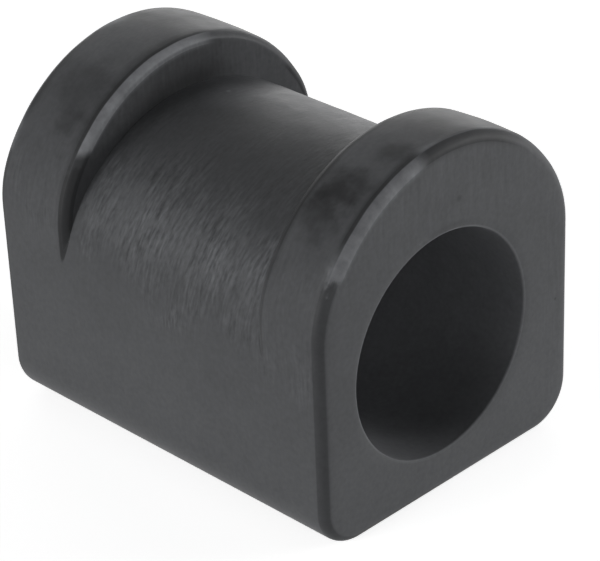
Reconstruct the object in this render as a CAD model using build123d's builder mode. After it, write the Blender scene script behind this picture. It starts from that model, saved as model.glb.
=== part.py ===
"""Sway bar bushing: one moulded rubber block that clamps round a bar.

The bar runs through a full-length bore. A bracket strap lies over the crown,
in the saddle between two end flanges, and presses the flat base down.
X runs along the bore and Z points up. The origin is on the bore axis, at
half the block's length.
"""
from build123d import *
import os

# Bore
bar_diameter = 22.0
bore_mouth_radius = 0.2

# Block across the bore: flat base and upright sides
block_width = 32.9
block_side_shift = 1.0
base_below_axis = 15.2
base_corner_radius = 4.4

# Crown arcs, from shoulder to shoulder over the top, measured up from the bore axis
flange_top = 19.8
flange_shoulder = 7.9
saddle_top = 15.0
saddle_shoulder = 5.0
shoulder_radius = 11.0

# Stations along the bore
block_length = 42.4
front_flange_length = 7.8
rear_flange_length = 9.6

# Softened edges of the flanges, and how far the saddle runs on inside them
rim_radius = 1.0
saddle_overlap = 2.0

front_end = block_length / 2
rear_end = -block_length / 2
saddle_front = front_end - front_flange_length
saddle_rear = rear_end + rear_flange_length


def block_section(station, top, shoulder):
    """Outline across the bore at one station, closed by a crown arc."""
    half = block_width / 2
    plane = Plane(origin=(station, block_side_shift, 0), x_dir=(0, 1, 0), z_dir=(1, 0, 0))
    with BuildSketch(plane) as section:
        with BuildLine():
            Polyline(
                (-half, shoulder),
                (-half, -base_below_axis),
                (half, -base_below_axis),
                (half, shoulder),
            )
            ThreePointArc((half, shoulder), (0, top), (-half, shoulder))
        make_face()
        fillet(section.vertices().group_by(Axis.Y)[-1], shoulder_radius)
        fillet(section.vertices().group_by(Axis.Y)[0], base_corner_radius)
    return section.sketch


def flange(station, length):
    """End flange from one station forward, both its rims rounded all the way round."""
    with BuildPart() as body:
        extrude(block_section(station, flange_top, flange_shoulder), amount=length)
        fillet(body.faces().filter_by(Axis.X).edges(), rim_radius)
    return body.part


with BuildPart() as bushing:
    add(flange(saddle_front, front_flange_length))
    add(flange(rear_end, rear_flange_length))
    # The saddle runs on inside both flanges, so their inner rims die out in its flush sides
    extrude(
        block_section(saddle_rear - saddle_overlap, saddle_top, saddle_shoulder),
        amount=saddle_front - saddle_rear + 2 * saddle_overlap,
    )
    # Bore for the bar, open at both ends, its mouths slightly rounded
    with Locations(Plane.YZ.offset(rear_end)):
        Hole(bar_diameter / 2)
    full_circles = bushing.edges().filter_by(GeomType.CIRCLE).filter_by(Edge.is_closed)
    fillet(full_circles, bore_mouth_radius)

bushing.part.label = "bushing"

os.makedirs("parts", exist_ok=True)
export_step(bushing.part, "parts/bushing.step")
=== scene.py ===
import bmesh
import bpy
import numpy as np
from math import cos, pi, radians, sin
from mathutils import Matrix, Vector, noise


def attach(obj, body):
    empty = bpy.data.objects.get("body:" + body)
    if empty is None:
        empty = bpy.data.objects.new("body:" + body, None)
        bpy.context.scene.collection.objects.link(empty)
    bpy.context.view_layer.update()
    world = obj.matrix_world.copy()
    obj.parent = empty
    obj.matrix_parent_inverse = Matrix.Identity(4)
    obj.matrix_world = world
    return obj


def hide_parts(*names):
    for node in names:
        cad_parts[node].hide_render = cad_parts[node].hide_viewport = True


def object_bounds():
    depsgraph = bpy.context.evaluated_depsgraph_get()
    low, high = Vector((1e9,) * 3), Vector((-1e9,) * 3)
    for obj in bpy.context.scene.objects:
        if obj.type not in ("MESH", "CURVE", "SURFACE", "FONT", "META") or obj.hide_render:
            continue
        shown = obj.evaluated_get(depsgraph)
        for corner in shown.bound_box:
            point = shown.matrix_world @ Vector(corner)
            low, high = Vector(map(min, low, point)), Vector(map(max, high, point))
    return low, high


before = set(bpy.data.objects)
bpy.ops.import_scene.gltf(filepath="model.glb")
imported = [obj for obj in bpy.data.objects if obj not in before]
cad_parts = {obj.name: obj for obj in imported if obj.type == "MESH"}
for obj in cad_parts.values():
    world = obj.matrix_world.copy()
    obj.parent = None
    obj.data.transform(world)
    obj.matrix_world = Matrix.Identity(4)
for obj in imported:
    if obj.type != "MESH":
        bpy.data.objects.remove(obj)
cad_low, cad_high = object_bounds()

MM = 0.001

# Box of the moulding in millimetres, from the imported parts' bounds: X runs along the bore, and Z up from
# its axis
rear_end, front_end = cad_low[0] / MM, cad_high[0] / MM
half_width = (cad_high[1] - cad_low[1]) / 2 / MM
side_shift = (cad_high[1] + cad_low[1]) / 2 / MM
base_below_axis = -cad_low[2] / MM

# Other sizes of the solid that this mesh stands for
rear_flange_length = 9.6
front_flange_length = 7.8
bore_radius = 11.0
bore_mouth_radius = 0.2
base_corner_radius = 4.4
shoulder_radius = 11.0
rim_radius = 1.0
saddle_rear = rear_end + rear_flange_length
saddle_front = front_end - front_flange_length

# Heights of each crown arc above the bore's axis: at its top, and where it would meet the sides
flange_crown = (19.8, 7.9)
saddle_crown = (15.0, 5.0)

# Form that only the mesh has: each flange's crown falls towards its faces. Between these two heights the
# fall sets in.
crown_fall = 0.15
crown_heights = (5.0, 14.0)

# Crowns are never quite even, and this sets in between two distances from the bore's axis
unevenness = 0.03
uneven_reach = (12.0, 15.0)
waves_per_mm = 0.45

# Columns of the mesh round the bore's axis, points of each stretch of an outline, and rows over each form
columns = 480
outline_points = 120
rim_rows = 7
flange_rows = 8
wall_rows = 4
saddle_rows = 32
face_rows = 6
mouth_rows = 4
bore_rows = 12

# Within this distance of its inner wall, a flange's skin never dips under the saddle's
meeting = 2.0

# Angles round the bore's axis, zero straight up
angles = np.linspace(-pi, pi, columns, endpoint=False)


def arch(crown):
    """Radius of a crown arc, and the height of its centre above the bore's axis."""
    top, side = crown
    rise = top - side
    radius = (rise**2 + half_width**2) / (2 * rise)
    return radius, top - radius


def outline(crown, inset):
    """Distance from the bore's axis to the block's outline, moved in by an inset, at every angle."""
    arch_radius, arch_middle = arch(crown)
    fillet_y = half_width - shoulder_radius
    fillet_z = arch_middle + np.sqrt((arch_radius - shoulder_radius) ** 2 - fillet_y**2)
    meet = np.arctan2(fillet_y, fillet_z - arch_middle)
    corner_y = half_width - base_corner_radius
    corner_z = base_corner_radius - base_below_axis
    share = np.linspace(0, 1, outline_points)
    on_arch = meet * share
    on_fillet = meet + (pi / 2 - meet) * share
    on_corner = pi / 2 * (1 + share)
    # Half of the outline: arch, shoulder, upright side, lower corner and base
    y = np.concatenate([
        (arch_radius - inset) * np.sin(on_arch),
        fillet_y + (shoulder_radius - inset) * np.sin(on_fillet),
        np.full(outline_points, half_width - inset),
        corner_y + (base_corner_radius - inset) * np.sin(on_corner),
        corner_y * (1 - share),
    ])
    z = np.concatenate([
        arch_middle + (arch_radius - inset) * np.cos(on_arch),
        fillet_z + (shoulder_radius - inset) * np.cos(on_fillet),
        fillet_z + (corner_z - fillet_z) * share,
        corner_z + (base_corner_radius - inset) * np.cos(on_corner),
        np.full(outline_points, inset - base_below_axis),
    ])
    full_y = np.concatenate([side_shift + y, side_shift - y])
    full_z = np.concatenate([z, z])
    return np.interp(angles, np.arctan2(full_y, full_z), np.hypot(full_y, full_z), period=2 * pi)


def ease(value, start, end):
    """0 up to start, 1 from end on, and smooth between them."""
    share = np.clip((value - start) / (end - start), 0, 1)
    return share**2 * (3 - 2 * share)


saddle_reach = outline(saddle_crown, 0)
on_crown = ease(np.cos(angles) * outline(flange_crown, 0), *crown_heights)


def inner_steps(first, last, count):
    """This many evenly spaced values between two ends, without the ends."""
    return np.linspace(first, last, count + 2)[1:-1]


def flange(start, end):
    """Rows of (place along X, reach from the axis) over a flange's skin, both its rims rounded."""
    turns = np.linspace(0, pi / 2, rim_rows)
    rim = [(rim_radius * (1 - sin(turn)), rim_radius * (1 - cos(turn))) for turn in turns]
    stations = [(start + depth, inset) for depth, inset in rim[::-1]]
    stations += [(x, 0) for x in inner_steps(start + rim_radius, end - rim_radius, flange_rows)]
    stations += [(end - depth, inset) for depth, inset in rim]
    middle, half = (start + end) / 2, (end - start) / 2
    rows = []
    for x, inset in stations:
        reach = outline(flange_crown, inset) - crown_fall * on_crown * ((x - middle) / half) ** 2
        if saddle_rear - meeting < x < saddle_front + meeting:
            reach = np.maximum(reach, saddle_reach)
        rows.append((x, reach))
    return rows


def wall(x, edge):
    """Rows down a flange's inner wall, from its edge to the saddle."""
    return [(x, edge + (saddle_reach - edge) * step / wall_rows) for step in range(1, wall_rows + 1)]


def end_face(x, edge):
    """Rows across an end face, from its edge to the bore's mouth."""
    mouth = bore_radius + bore_mouth_radius
    return [(x, edge + (mouth - edge) * share) for share in inner_steps(0, 1, face_rows)]


def bore_mouth(x, inwards):
    """Rows over the rounding of a bore mouth, from the end face into the bore."""
    rows = []
    for turn in np.linspace(0, pi / 2, mouth_rows):
        depth = bore_mouth_radius * (1 - cos(turn))
        reach = bore_radius + bore_mouth_radius * (1 - sin(turn))
        rows.append((x + inwards * depth, reach))
    return rows


def moulding_rows():
    """Rows round the moulding: forwards over its skin, back through the bore, and over the rear face."""
    rear = flange(rear_end, saddle_rear)
    front = flange(saddle_front, front_end)
    bore_start, bore_end = front_end - bore_mouth_radius, rear_end + bore_mouth_radius
    return [
        *rear,
        *wall(saddle_rear, rear[-1][1]),
        *((x, saddle_reach) for x in inner_steps(saddle_rear, saddle_front, saddle_rows)),
        *wall(saddle_front, front[0][1])[::-1],
        *front,
        *end_face(front_end, front[-1][1]),
        *bore_mouth(front_end, -1),
        *((x, bore_radius) for x in inner_steps(bore_start, bore_end, bore_rows)),
        *bore_mouth(rear_end, 1)[::-1],
        *end_face(rear_end, rear[0][1])[::-1],
    ]


def make_uneven(grid):
    """Push the crowns' skin in and out a little, and leave the bore round."""
    start, full = uneven_reach
    for row in grid:
        for column in np.flatnonzero(on_crown):
            place = Vector(row[column])
            reach = np.hypot(place.y, place.z)
            share = on_crown[column] * np.clip((reach - start) / (full - start), 0, 1)
            row[column, 1:] *= 1 + unevenness * share * noise.noise(place * waves_per_mm) / reach


def add_object(name, data):
    """A new object of the scene."""
    thing = bpy.data.objects.new(name, data)
    bpy.context.scene.collection.objects.link(thing)
    return thing


rows = moulding_rows()
grid = np.empty((len(rows), columns, 3))
for index, (x, reach) in enumerate(rows):
    grid[index, :, 0] = x
    grid[index, :, 1] = reach * np.sin(angles)
    grid[index, :, 2] = reach * np.cos(angles)
make_uneven(grid)

# Each face joins two neighbouring rows and columns, and the last of both joins the first
corners = np.arange(len(rows) * columns).reshape(len(rows), columns)
next_row = np.roll(corners, -1, 0)
faces = np.stack([corners, next_row, np.roll(next_row, -1, 1), np.roll(corners, -1, 1)], -1)

# Rows that lie on each other where a wall has no height are merged
merge_distance = 0.0005 * MM
sharp_from = radians(40)
mesh = bpy.data.meshes.new("rubber_block")
mesh.from_pydata((grid.reshape(-1, 3) * MM).tolist(), [], faces.reshape(-1, 4).tolist())
shape = bmesh.new()
shape.from_mesh(mesh)
bmesh.ops.remove_doubles(shape, verts=shape.verts, dist=merge_distance)
shape.to_mesh(mesh)
shape.free()
mesh.shade_smooth()
mesh.set_sharp_from_angle(angle=sharp_from)
block = add_object("rubber_block", mesh)
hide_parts("bushing")
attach(block, "root")

# Camera at the photograph's angle, placed round the middle of the bored front face
camera_azimuth = radians(43.97)
camera_elevation = radians(29.17)
camera_roll = radians(-2.4)
camera_distance = 234.4 * MM
camera_lens = 158.4
aim_right = 12.69 * MM
aim_up = -5.72 * MM

face_middle = Vector((cad_high[0], 0, 0))
towards = Vector((
    cos(camera_elevation) * cos(camera_azimuth),
    -cos(camera_elevation) * sin(camera_azimuth),
    sin(camera_elevation),
))
level_right = Vector((sin(camera_azimuth), cos(camera_azimuth), 0))
level_up = towards.cross(level_right)
right = cos(camera_roll) * level_right + sin(camera_roll) * level_up
up = -sin(camera_roll) * level_right + cos(camera_roll) * level_up

camera = add_object("camera", bpy.data.cameras.new("camera"))
bpy.context.scene.camera = camera
camera.data.lens = camera_lens
camera.data.sensor_width = 36
camera.data.clip_start = 0.01
turn = Matrix((right, up, towards)).transposed().to_4x4()
place = face_middle + towards * camera_distance - right * aim_right - up * aim_up
camera.matrix_world = Matrix.Translation(place) @ turn


def white_rays(tree):
    """1 for rays from the camera, a reflection or a transmission, which all see a white room."""
    rays = tree.nodes.new("ShaderNodeLightPath")
    total = rays.outputs["Is Camera Ray"]
    for name in ("Is Glossy Ray", "Is Transmission Ray"):
        node = tree.nodes.new("ShaderNodeMath")
        node.operation = "MAXIMUM"
        tree.links.new(total, node.inputs[0])
        tree.links.new(rays.outputs[name], node.inputs[1])
        total = node.outputs[0]
    return total


# Floor in metres: pale and shadowed, and lifted to white for those rays, wholly so far from the part
floor_half = 2.0
floor_gap = 0.02 * MM
floor_pale = (0.85, 0.85, 0.85, 1)
floor_roughness = 0.9
lift_distances = (0.08, 0.4)
lifts = (0.76, 1.0)

floor_z = cad_low[2] - floor_gap
floor_sides = [(-1, -1), (1, -1), (1, 1), (-1, 1)]
floor_corners = [(x * floor_half, y * floor_half, floor_z) for x, y in floor_sides]
floor_mesh = bpy.data.meshes.new("floor")
floor_mesh.from_pydata(floor_corners, [], [(0, 1, 2, 3)])
floor = add_object("floor", floor_mesh)
floor_paint = bpy.data.materials.new("floor")
floor_paint.use_nodes = True
floor_tree = floor_paint.node_tree
floor_shader = floor_tree.nodes["Principled BSDF"]
floor_shader.inputs["Base Color"].default_value = floor_pale
floor_shader.inputs["Roughness"].default_value = floor_roughness
floor_shader.inputs["Specular IOR Level"].default_value = 0.0
floor_shader.inputs["Emission Color"].default_value = (1, 1, 1, 1)
spot = floor_tree.nodes.new("ShaderNodeTexCoord")
from_part = floor_tree.nodes.new("ShaderNodeVectorMath")
from_part.operation = "LENGTH"
floor_tree.links.new(spot.outputs["Object"], from_part.inputs[0])
whiter = floor_tree.nodes.new("ShaderNodeMapRange")
whiter.inputs["From Min"].default_value, whiter.inputs["From Max"].default_value = lift_distances
whiter.inputs["To Min"].default_value, whiter.inputs["To Max"].default_value = lifts
floor_tree.links.new(from_part.outputs["Value"], whiter.inputs["Value"])
lift = floor_tree.nodes.new("ShaderNodeMath")
lift.operation = "MULTIPLY"
floor_tree.links.new(whiter.outputs["Result"], lift.inputs[1])
floor_tree.links.new(white_rays(floor_tree), lift.inputs[0])
floor_tree.links.new(lift.outputs[0], floor_shader.inputs["Emission Strength"])
floor_mesh.materials.append(floor_paint)

# World: white all round for those rays, and a dim even light for the part
world_light = 0.09
world = bpy.data.worlds.new("world")
bpy.context.scene.world = world
world.use_nodes = True
world_tree = world.node_tree
background = world_tree.nodes["Background"]
background.inputs["Color"].default_value = (1, 1, 1, 1)
strength = world_tree.nodes.new("ShaderNodeMapRange")
strength.inputs["To Min"].default_value = world_light
strength.inputs["To Max"].default_value = 1.0
world_tree.links.new(white_rays(world_tree), strength.inputs["Value"])
world_tree.links.new(strength.outputs["Result"], background.inputs["Strength"])

# Lamps, all at one distance from the part, which is in metres as their panels are
lamp_distance = 0.45


def softbox(name, azimuth, elevation, width, height, energy):
    """A light panel that faces the part's middle, azimuth in degrees from +X towards +Y."""
    lamp = bpy.data.lights.new(name, "AREA")
    lamp.shape = "RECTANGLE"
    lamp.size, lamp.size_y = width, height
    lamp.energy = energy
    holder = add_object(name, lamp)
    a, e = radians(azimuth), radians(elevation)
    holder.location = Vector((cos(e) * cos(a), cos(e) * sin(a), sin(e))) * lamp_distance
    holder.rotation_euler = (-holder.location).to_track_quat("-Z", "Y").to_euler()


softbox("left", azimuth=-100, elevation=10, width=0.22, height=0.22, energy=1.2)
softbox("right", azimuth=50, elevation=5, width=0.22, height=0.2, energy=1.46)
softbox("back", azimuth=138, elevation=11, width=0.5, height=0.2, energy=0.7)
softbox("fill", azimuth=-12, elevation=8, width=0.22, height=0.22, energy=0.34)

# Moulded rubber, painted by place and direction on the part itself
rubber_colour = (0.077, 0.079, 0.083)
rubber_specular = 0.12
rubber_roughness = 0.5
relief_strength = 0.42
relief_height = 0.12 * MM
rubber = bpy.data.materials.new("rubber")
rubber.use_nodes = True
rubber_tree = rubber.node_tree
shader = rubber_tree.nodes["Principled BSDF"]


def connect(value, socket):
    """Give a socket a number, or link another node's output to it."""
    if isinstance(value, bpy.types.NodeSocket):
        rubber_tree.links.new(value, socket)
    else:
        socket.default_value = value


def calc(operation, *values):
    """One Math node on these values."""
    node = rubber_tree.nodes.new("ShaderNodeMath")
    node.operation = operation
    for value, socket in zip(values, node.inputs):
        connect(value, socket)
    return node.outputs[0]


def vector_node(operation, vector):
    """One Vector Math node on this vector."""
    node = rubber_tree.nodes.new("ShaderNodeVectorMath")
    node.operation = operation
    connect(vector, node.inputs[0])
    return node


def times(*values):
    """Product of these values."""
    result = values[0]
    for value in values[1:]:
        result = calc("MULTIPLY", result, value)
    return result


def plus(*values):
    """Sum of these values."""
    result = values[0]
    for value in values[1:]:
        result = calc("ADD", result, value)
    return result


def split(vector):
    """The three components of a vector."""
    node = rubber_tree.nodes.new("ShaderNodeSeparateXYZ")
    connect(vector, node.inputs[0])
    return node.outputs


def fade(value, start, end):
    """0 up to start, 1 from end on, and smooth between them; start may be the larger."""
    node = rubber_tree.nodes.new("ShaderNodeMapRange")
    node.interpolation_type = "SMOOTHSTEP"
    connect(value, node.inputs["Value"])
    node.inputs["From Min"].default_value = min(start, end)
    node.inputs["From Max"].default_value = max(start, end)
    node.inputs["To Min"].default_value = 0.0 if start < end else 1.0
    node.inputs["To Max"].default_value = 1.0 if start < end else 0.0
    return node.outputs["Result"]


def between(value, start, end, soft):
    """1 between start and end and 0 outside them, with a soft stretch to either side of both."""
    return times(fade(value, start - soft, start + soft), fade(value, end + soft, end - soft))


def grain(sizes, axes, detail, seed):
    """Noise about zero whose features have these sizes in millimetres along these axes."""
    place = rubber_tree.nodes.new("ShaderNodeCombineXYZ")
    for size, axis, socket in zip(sizes, axes, place.inputs):
        connect(calc("DIVIDE", axis, size), socket)
    node = rubber_tree.nodes.new("ShaderNodeTexNoise")
    node.noise_dimensions = "4D"
    connect(place.outputs[0], node.inputs["Vector"])
    node.inputs["W"].default_value = seed
    node.inputs["Scale"].default_value = 1.0
    node.inputs["Detail"].default_value = detail
    return calc("SUBTRACT", node.outputs[0], 0.5)


def paint(tone, mask, share):
    """Lighten the tone by a share where the mask is 1, or darken it if the share is negative."""
    return times(tone, plus(1.0, times(mask, share)))


# Place in millimetres, and direction: 0 on the skin and 1 on the end faces and the flanges' inner walls
where = rubber_tree.nodes.new("ShaderNodeTexCoord")
to_millimetres = vector_node("SCALE", where.outputs["Object"])
to_millimetres.inputs["Scale"].default_value = 1 / MM
spot_on_part = to_millimetres.outputs[0]
x, y, z = split(spot_on_part)
along = calc("ABSOLUTE", x)
across = calc("SUBTRACT", y, side_shift)
from_axis = calc("SQRT", plus(times(y, y), times(z, z)))
facing_end = calc("ABSOLUTE", split(where.outputs["Normal"])[0])

# Distance round the block at its mean reach, for streaks that run round it
mean_reach = 17.0
girth = times(calc("ARCTAN2", across, z), mean_reach)

# Height above the saddle's arch
saddle_radius, saddle_middle = arch(saddle_crown)
above_middle = plus(z, -saddle_middle)
from_arch_centre = calc("SQRT", plus(times(across, across), times(above_middle, above_middle)))
above_saddle = calc("SUBTRACT", from_arch_centre, saddle_radius)

# Noises: a feature as long as the block leaves that axis nearly even
block_long = 50.0
patches = grain((5.0, 6.0, 6.0), (x, y, z), detail=2.0, seed=3.1)
blotches = grain((1.6, 1.6, 1.6), (x, y, z), detail=4.0, seed=7.7)
speckle = grain((0.45, 0.45, 0.45), (x, y, z), detail=2.0, seed=11.2)
streaks = grain((0.34, 2.3, block_long), (x, girth, z), detail=4.0, seed=1.3)
pores = grain((0.28, 0.8, block_long), (x, girth, z), detail=2.0, seed=5.9)
rim_streaks = grain((block_long, 0.9, block_long), (x, girth, z), detail=4.0, seed=9.4)
face_streaks = grain((block_long, 0.35, 2.5), (x, y, z), detail=3.0, seed=2.2)
ragged = plus(blotches, times(pores, 0.6))

# Surfaces
outside = fade(from_axis, bore_radius + 0.05, bore_radius + 0.15)
in_bore = fade(from_axis, bore_radius + 0.3, bore_radius + 0.02)
skin = fade(facing_end, 0.5, 0.2)
flat_face = fade(facing_end, 0.9, 0.98)
in_saddle = between(x, saddle_rear + 0.6, saddle_front - 0.4, 1.0)
saddle_skin = times(skin, in_saddle)
flange_skin = times(skin, fade(along, 13.0, 14.0))
inner_wall = times(flat_face, fade(along, 16.0, 14.0), outside)

# Rims: the rounding, from this tilt towards the end, the skin beside it, and each rim's place along the bore
rounding_starts = (0.34, 0.46)
rounding = times(fade(facing_end, *rounding_starts), fade(facing_end, 0.9998, 0.996), outside)
skin_side = times(fade(facing_end, 0.05, 0.15), fade(facing_end, *rounding_starts[::-1]), outside)
rim = calc("MAXIMUM", rounding, skin_side)
end_rims = fade(along, front_end - 2.7, front_end - 2.2)
rear_inner = between(x, saddle_rear - 1.7, saddle_rear + 0.3, 0.2)
front_inner = between(x, saddle_front - 0.2, saddle_front + 1.4, 0.3)

# Stretches of the rims round the block, for wear, painted highlights and painted shade, their ends ragged
# where these stop
left_starts = (-1.0, -3.0)
end_band_foot = (11.0, 12.0)
rear_band_foot = (12.2, 13.2)
ragged_height = plus(z, times(ragged, 2.5))
left_arch = times(fade(plus(y, times(ragged, 2.0)), *left_starts), fade(ragged_height, *end_band_foot))
top_arch = times(fade(y, *left_starts[::-1]), fade(y, 12.0, 7.0), fade(z, 10.0, 14.0))
rear_arch = times(fade(y, 5.0, 2.0), fade(z, *rear_band_foot))
# Painted shade along the left upright edges
left_upright_shade = times(
    fade(facing_end, 0.06, 0.2), fade(facing_end, 0.99, 0.93),
    fade(ragged_height, *end_band_foot[::-1]), fade(y, 2.0, -2.0), outside,
)
# Pale rim bands, partly wear and partly painted highlight
worn_and_highlit_end = times(rounding, end_rims, left_arch)
worn_and_highlit_rear = times(rounding, rear_inner, rear_arch)
beside_end = times(skin_side, end_rims, fade(y, *left_starts))

# Moulding grain: clearest on the saddle's shoulders, faint on the flanges, none low on the sides
grain_height = fade(plus(z, times(patches, 11.0), times(x, 0.15)), 1.0, 7.0)
grain_zone = times(
    skin, outside, grain_height, plus(0.45, fade(z, 15.0, 11.0)),
    plus(0.35, times(in_saddle, 0.65)), plus(0.8, times(patches, 2.5)),
)
face_zone = times(flat_face, calc("MAXIMUM", fade(z, 6.0, 15.0), fade(y, 12.0, 15.0)))
tone = plus(
    1.0,
    times(patches, 0.2),
    times(blotches, 0.22),
    times(speckle, 0.35),
    times(streaks, grain_zone, 1.35),
    times(pores, grain_zone, 0.9),
    times(face_streaks, face_zone, 0.45),
)

# Wear, tone, painted highlights and painted shade in the order of painting: mask, and how much lighter it
# is, or darker below zero
# Painted shade on the inner walls, deeper near the saddle
painted_wall_shade = times(
    plus(0.35, times(fade(above_saddle, 3.0, 0.4), 0.35)),
    plus(0.3, times(fade(y, -10.0, -2.0), 0.7)),
    fade(y, 10.0, 2.0),
)
layers = [
    # End rims: worn pale and painted as a highlight on the left of the arch, with a line of painted shade
    # and a pale spot beside the band
    (worn_and_highlit_end, plus(1.1, times(rim_streaks, 1.6), times(ragged, 1.2))),
    (times(beside_end, fade(z, 13.5, 15.0)), -0.6),
    (times(beside_end, between(z, 11.3, 13.2, 0.8)), plus(0.6, times(ragged, 1.5))),
    # End rims over the top: painted shade, with a painted highlight line beside them
    (times(rounding, end_rims, top_arch), plus(-0.45, times(fade(facing_end, 0.7, 0.9), -0.2))),
    (times(skin_side, end_rims, top_arch), 0.8),
    # Rear flange's inner rim: worn pale and painted as a highlight over the arch, painted shade beside that
    # and below it
    (worn_and_highlit_rear, plus(1.9, times(ragged, 0.9))),
    (times(skin_side, rear_inner, rear_arch), -0.55),
    (times(rim, rear_inner, fade(z, *rear_band_foot[::-1])), -0.45),
    # Front flange's inner rim: painted shade over the arch
    (times(rim, front_inner, fade(z, 9.0, 14.0)), -0.7),
    # Flanges' crowns: painted shade past the top, paler just before it
    (times(flange_skin, fade(y, 0.0, 3.0), fade(z, 13.0, 16.0)), -0.34),
    (times(flange_skin, between(y, -6.0, 0.5, 1.5), fade(z, 17.0, 18.5)), 0.5),
    # Whole block: paler low down, and painted shade along the left upright edges
    (times(outside, fade(z, 2.0, -8.0)), 0.12),
    (left_upright_shade, -0.38),
    # Inner walls: painted shade that deepens towards their roots and thins out to the left
    (inner_wall, times(painted_wall_shade, -1.0)),
    # Saddle: painted shade on top, pale on its shoulders, painted shadow by the rear wall, and a painted
    # sheen near it
    (times(saddle_skin, fade(z, 11.0, 13.5), fade(y, 4.0, -1.0)), -0.2),
    (times(saddle_skin, between(z, 7.0, 10.5, 1.6)), 0.5),
    (times(saddle_skin, fade(x, -8.5, -11.5), fade(y, 7.0, 3.0), fade(z, 6.0, 9.0)), -0.25),
    (times(skin, fade(z, 14.2, 14.8), between(x, -9.0, -5.0, 1.5), fade(y, -1.5, 1.5)), 0.6),
    # Bore: painted light that lifts its shaded walls to an even dark grey, and less of it low down at the
    # front, where the lamps reach it
    (in_bore, plus(1.18, times(fade(z, -3.0, -9.0), fade(x, 6.0, 20.0), -0.8))),
]
for mask, share in layers:
    tone = paint(tone, mask, share)

# Single marks: place and reach in millimetres, and how much darker it is, or lighter below zero
mark_core = 0.1
marks = {
    "front crown, large scuff": ((16.9, -8.0, 17.2), 3.6, 0.65),
    "front crown, lower end of that scuff": ((16.5, -10.2, 15.6), 3.6, 0.42),
    "front crown, scuff before the top": ((18.3, -3.1, 19.3), 2.2, 0.5),
    "front crown, scuff past the top": ((17.9, 3.6, 19.6), 1.9, 0.45),
    "front crown, far shoulder": ((15.5, 14.0, 13.0), 5.0, 0.4),
    "rear crown, small scuff": ((-14.4, -11.4, 14.5), 2.2, 0.35),
    "rear crown, broad scuff": ((-15.0, -8.6, 16.9), 5.0, 0.3),
    "front face, nick by the right edge": ((21.2, 15.46, -1.9), 0.3, 0.5),
    "front face, speck above the bore": ((21.2, 2.3, 13.7), 0.4, 0.25),
    "saddle, pale streak by the front flange": ((11.1, -10.7, 10.9), 1.0, -0.35),
    "saddle, pale dot near the rear wall": ((-8.2, 2.8, 14.9), 0.3, -0.5),
}
for name, (centre, reach, depth) in marks.items():
    gap = vector_node("DISTANCE", spot_on_part)
    gap.label = name
    gap.inputs[1].default_value = centre
    edge = plus(gap.outputs["Value"], times(plus(times(blotches, 1.4), patches), reach))
    tone = paint(tone, fade(edge, reach, mark_core * reach), -depth)

# Colour, gloss and relief
tinted = vector_node("SCALE", rubber_colour)
connect(tone, tinted.inputs["Scale"])
connect(tinted.outputs[0], shader.inputs["Base Color"])
shader.inputs["Specular IOR Level"].default_value = rubber_specular
roughness = plus(
    rubber_roughness,
    times(blotches, 0.2),
    times(streaks, grain_zone, 0.3),
    times(worn_and_highlit_end, 0.1),
    times(inner_wall, 0.35),
)
connect(roughness, shader.inputs["Roughness"])

height = plus(
    times(streaks, grain_zone),
    times(pores, plus(0.2, times(grain_zone, 0.5))),
    times(blotches, 0.3),
    times(speckle, 0.15),
)
relief = rubber_tree.nodes.new("ShaderNodeBump")
relief.inputs["Strength"].default_value = relief_strength
relief.inputs["Distance"].default_value = relief_height
connect(height, relief.inputs["Height"])
connect(relief.outputs["Normal"], shader.inputs["Normal"])
mesh.materials.append(rubber)

bpy.context.scene.view_settings.view_transform = "Standard"
